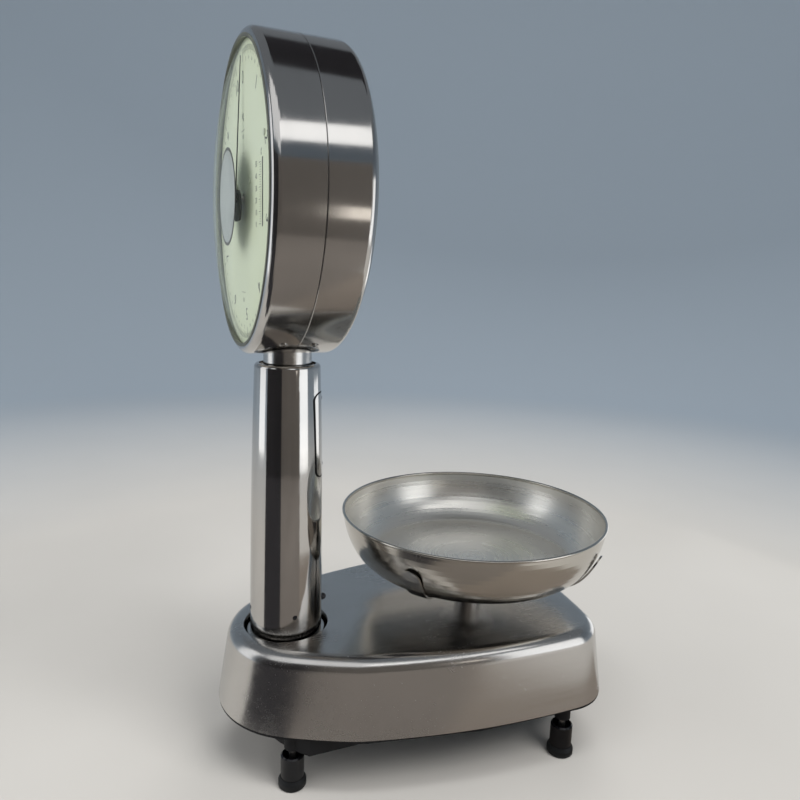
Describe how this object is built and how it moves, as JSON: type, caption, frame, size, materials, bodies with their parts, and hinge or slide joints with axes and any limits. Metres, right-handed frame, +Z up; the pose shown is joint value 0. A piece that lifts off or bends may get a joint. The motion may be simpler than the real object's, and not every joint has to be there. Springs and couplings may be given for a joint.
{
  "type": "dial scale",
  "caption": "Free-standing counter scale: round double-faced dial head on a column, beside a bowl carried over a low sheet-metal base on levelling feet.",
  "frame": {"origin": "on the table, under the middle of the overall box", "axes": "+Z up the column, the front dial faces -Y, the bowl stands towards +Y, +X is to the right of a viewer in front of the dial"},
  "size_m": [0.325, 0.4735, 0.766],
  "materials": {
    "stainless_sheet": "polished stainless sheet, lightly worn",
    "satin_stainless": "satin stainless",
    "cast_black": "black enamel on casting",
    "mild_steel": "plain machined steel",
    "bright_steel": "ground steel",
    "frame_alloy": "die cast",
    "brass": "machined",
    "black_screw": "black oxide",
    "black_paint": "matt black",
    "dial_enamel": "pale greenish cream",
    "clear_plastic": "clear moulded dome",
    "gasket_rubber": "grey green rubber",
    "foot_plastic": "black moulded",
    "pad_rubber": "black rubber"
  },
  "bodies": {
    "stand": {"base_frame": "cast_black", "base_cover": "satin_stainless", "column_collar": "satin_stainless", "collar_bolts": "mild_steel", "column_tube": "stainless_sheet", "column_screws": "black_screw", "column_hatch": "stainless_sheet", "hatch_straps": "mild_steel", "hatch_screws": "mild_steel", "neck_tube": "satin_stainless", "head_frame": "frame_alloy", "head_shell_front": "stainless_sheet", "head_shell_rear": "stainless_sheet", "head_screws": "satin_stainless", "gasket_front": "gasket_rubber", "gasket_rear": "gasket_rubber", "lens_front": "clear_plastic", "lens_rear": "clear_plastic", "dial_front": "dial_enamel", "dial_rear": "dial_enamel", "dial_posts": "brass", "movement_plate_front": "mild_steel", "movement_plate_rear": "mild_steel", "movement_bridge": "brass", "movement_pillars": "brass", "arbor_bearings": "bright_steel", "pendulum_shafts": "bright_steel", "dashpot_shelf": "frame_alloy", "dashpot_cylinder": "brass", "fulcrum_bracket": "mild_steel", "fulcrum_shafts": "bright_steel", "foot_studs": "mild_steel"},
    "platform": {"platform_post": "bright_steel", "post_pins": "bright_steel", "bowl_carrier": "satin_stainless"},
    "bowl": {"bowl": "stainless_sheet"},
    "lever": {"main_lever": "cast_black"},
    "check_link": {"check_link": "cast_black"},
    "draft": {"yoke": "mild_steel", "racks": "brass", "draft_rod": "bright_steel", "draft_tapes": "bright_steel", "dashpot_piston": "bright_steel"},
    "pendulum_left": {"pendulum_left": "mild_steel", "bob_left": "brass"},
    "pendulum_right": {"pendulum_right": "mild_steel", "bob_right": "brass"},
    "pointer_front": {"pointer_front": "black_paint", "arbor_front": "bright_steel"},
    "pointer_rear": {"pointer_rear": "black_paint", "arbor_rear": "bright_steel"},
    "foot_1": {"foot_knob_1": "foot_plastic", "foot_pad_1": "pad_rubber"},
    "foot_2": {"foot_knob_2": "foot_plastic", "foot_pad_2": "pad_rubber"},
    "foot_3": {"foot_knob_3": "foot_plastic", "foot_pad_3": "pad_rubber"},
    "foot_4": {"foot_knob_4": "foot_plastic", "foot_pad_4": "pad_rubber"}
  },
  "joints": [
    {"name": "platform_travel", "type": "slide", "parent": "stand", "child": "platform", "axis": [0, 0, -1], "range_m": [0, 0.0084], "stiffness_N_per_m": 11700, "springref_m": -0.0058},
    {"name": "bowl_lift", "type": "slide", "parent": "platform", "child": "bowl", "axis": [0, 0, 1], "range_m": [0, 0.12]},
    {"name": "lever_rock", "type": "hinge", "parent": "stand", "child": "lever", "pos_m": [0, 0.13325, 0.083], "axis": [1, 0, 0], "range_deg": [0, 8.16]},
    {"name": "check_link_rock", "type": "hinge", "parent": "stand", "child": "check_link", "pos_m": [0, 0.13325, 0.121], "axis": [1, 0, 0], "range_deg": [0, 8.16]},
    {"name": "draft_travel", "type": "slide", "parent": "stand", "child": "draft", "axis": [0, 0, -1], "range_m": [0, 0.042], "deforming": ["draft_tapes"]},
    {"name": "pendulum_left_swing", "type": "hinge", "parent": "stand", "child": "pendulum_left", "pos_m": [-0.075, -0.16675, 0.64], "axis": [0, 1, 0], "range_deg": [0, 53.5]},
    {"name": "pendulum_right_swing", "type": "hinge", "parent": "stand", "child": "pendulum_right", "pos_m": [0.075, -0.16675, 0.64], "axis": [0, -1, 0], "range_deg": [0, 53.5]},
    {"name": "pointer_front_turn", "type": "hinge", "parent": "stand", "child": "pointer_front", "pos_m": [0, -0.16675, 0.612], "axis": [0, 1, 0], "range_deg": [0, 344]},
    {"name": "pointer_rear_turn", "type": "hinge", "parent": "stand", "child": "pointer_rear", "pos_m": [0, -0.16675, 0.612], "axis": [0, -1, 0], "range_deg": [0, 344]},
    {"name": "foot_1_turn", "type": "hinge", "parent": "stand", "child": "foot_1", "pos_m": [0.073, -0.17175, 0.03], "axis": [0, 0, 1], "continuous": true},
    {"name": "foot_2_turn", "type": "hinge", "parent": "stand", "child": "foot_2", "pos_m": [-0.073, -0.17175, 0.03], "axis": [0, 0, 1], "continuous": true},
    {"name": "foot_3_turn", "type": "hinge", "parent": "stand", "child": "foot_3", "pos_m": [0.131, 0.13325, 0.03], "axis": [0, 0, 1], "continuous": true},
    {"name": "foot_4_turn", "type": "hinge", "parent": "stand", "child": "foot_4", "pos_m": [-0.131, 0.13325, 0.03], "axis": [0, 0, 1], "continuous": true}
  ],
  "couplings": [
    {"joint": "draft_travel", "follows": "platform_travel", "ratio": 5},
    {"joint": "lever_rock", "follows": "platform_travel", "rad_per_m": 16.949},
    {"joint": "check_link_rock", "follows": "platform_travel", "rad_per_m": 16.949},
    {"joint": "pendulum_left_swing", "follows": "platform_travel", "rad_per_m": 111.11},
    {"joint": "pendulum_right_swing", "follows": "platform_travel", "rad_per_m": 111.11},
    {"joint": "pointer_front_turn", "follows": "platform_travel", "rad_per_m": 714.29},
    {"joint": "pointer_rear_turn", "follows": "platform_travel", "rad_per_m": 714.29}
  ]
}
